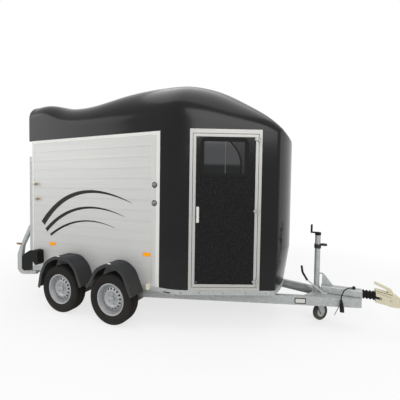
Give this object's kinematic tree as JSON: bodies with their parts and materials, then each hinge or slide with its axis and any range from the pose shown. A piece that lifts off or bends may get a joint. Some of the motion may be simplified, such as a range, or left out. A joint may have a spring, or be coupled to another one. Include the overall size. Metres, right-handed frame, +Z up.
{
  "type": "horse trailer",
  "caption": "Enclosed two-stall tandem-axle livestock trailer with planked sides, arched moulded roof and nose, side door, rear ramp and jockey wheel.",
  "frame": {"origin": "on the ground, on the centreline, midway between the tail and the coupling's nose", "axes": "+X forwards to the tow coupling, +Y to the trailer's left, +Z up"},
  "size_m": [4.76, 2.18, 2.8066],
  "materials": {
    "black_moulding": "gloss",
    "aluminium_plank": "satin",
    "white_trim": "satin",
    "galvanised_steel": "matt",
    "floor_board": "matt",
    "axle_steel": "satin",
    "door_black": "gloss",
    "black_rubber": "matt",
    "tinted_glass": "gloss",
    "handle_white": "satin",
    "hinge_steel": "satin",
    "canvas": "matt",
    "black_plastic": "matt",
    "red_lens": "gloss",
    "padding": "satin",
    "amber_lens": "gloss",
    "clear_lens": "gloss",
    "jockey_rubber": "matt",
    "cream_casting": "satin",
    "tyre": "matt",
    "wheel_steel": "satin"
  },
  "bodies": {
    "trailer": {"axle_front": "axle_steel", "axle_rear": "axle_steel", "bellows": "black_rubber", "brake_grip": "black_plastic", "brake_lever": "galvanised_steel", "chassis_rails": "galvanised_steel", "coupling_handle": "cream_casting", "coupling_head": "cream_casting", "cross_members": "galvanised_steel", "door_frame": "white_trim", "drawbar_plate": "galvanised_steel", "floor_deck": "floor_board", "front_shell": "black_moulding", "jockey_collar": "black_plastic", "jockey_crank": "black_plastic", "jockey_tube": "galvanised_steel", "lead_relief": "black_plastic", "marker_lamps": "clear_lens", "mudguards_left": "black_plastic", "mudguards_right": "black_plastic", "overrun_housing": "galvanised_steel", "partition_panel": "padding", "ramp_latches": "hinge_steel", "rear_canvas": "canvas", "rear_frame": "galvanised_steel", "rear_lamp_housings": "black_plastic", "rear_lamp_lenses": "red_lens", "roof_shell": "black_moulding", "side_reflectors": "amber_lens", "sill_strip": "galvanised_steel", "stall_bars": "galvanised_steel", "trailer_lead": "black_rubber", "trailer_plug": "black_plastic", "wall_frames": "white_trim", "wall_panels": "aluminium_plank", "wheel_chocks": "black_plastic"},
    "road_wheel_front_left": {"tyre_front_left": "tyre", "wheel_front_left": "wheel_steel"},
    "road_wheel_front_right": {"tyre_front_right": "tyre", "wheel_front_right": "wheel_steel"},
    "road_wheel_rear_left": {"tyre_rear_left": "tyre", "wheel_rear_left": "wheel_steel"},
    "road_wheel_rear_right": {"tyre_rear_right": "tyre", "wheel_rear_right": "wheel_steel"},
    "side_door": {"door_leaf_frame": "white_trim", "door_leaf": "door_black", "door_window_frame": "black_rubber", "door_glass": "tinted_glass", "door_handle": "handle_white", "door_hinge_straps": "hinge_steel"},
    "ramp": {"ramp_frame": "white_trim", "ramp_panel": "aluminium_plank", "ramp_cleats": "black_rubber"},
    "jockey_leg": {"jockey_stem": "hinge_steel"},
    "jockey_swivel": {"jockey_fork": "galvanised_steel"},
    "jockey_roller": {"jockey_wheel": "jockey_rubber"}
  },
  "joints": [
    {"name": "road_wheel_front_left_spin", "type": "hinge", "parent": "trailer", "child": "road_wheel_front_left", "pos_m": [-0.576, 0.99, 0.288], "axis": [0, 1, 0], "continuous": true},
    {"name": "road_wheel_front_right_spin", "type": "hinge", "parent": "trailer", "child": "road_wheel_front_right", "pos_m": [-0.576, -0.99, 0.288], "axis": [0, 1, 0], "continuous": true},
    {"name": "road_wheel_rear_left_spin", "type": "hinge", "parent": "trailer", "child": "road_wheel_rear_left", "pos_m": [-1.344, 0.99, 0.288], "axis": [0, 1, 0], "continuous": true},
    {"name": "road_wheel_rear_right_spin", "type": "hinge", "parent": "trailer", "child": "road_wheel_rear_right", "pos_m": [-1.344, -0.99, 0.288], "axis": [0, 1, 0], "continuous": true},
    {"name": "side_door_hinge", "type": "hinge", "parent": "trailer", "child": "side_door", "pos_m": [0.94963, -0.5585, 1.3], "axis": [0, 0, 1], "range_deg": [0, 150]},
    {"name": "ramp_hinge", "type": "hinge", "parent": "trailer", "child": "ramp", "pos_m": [-2.11, 0, 0.455], "axis": [0, -1, 0], "range_deg": [0, 103]},
    {"name": "jockey_leg_slide", "type": "slide", "parent": "trailer", "child": "jockey_leg", "axis": [0, 0, 1], "range_m": [0, 0.07]},
    {"name": "jockey_swivel_turn", "type": "hinge", "parent": "jockey_leg", "child": "jockey_swivel", "pos_m": [1.559, 0, 0.24], "axis": [0, 0, 1], "continuous": true},
    {"name": "jockey_wheel_spin", "type": "hinge", "parent": "jockey_swivel", "child": "jockey_roller", "pos_m": [1.6085, 0.0495, 0.1], "axis": [-0.7071, 0.7071, 0], "continuous": true}
  ]
}
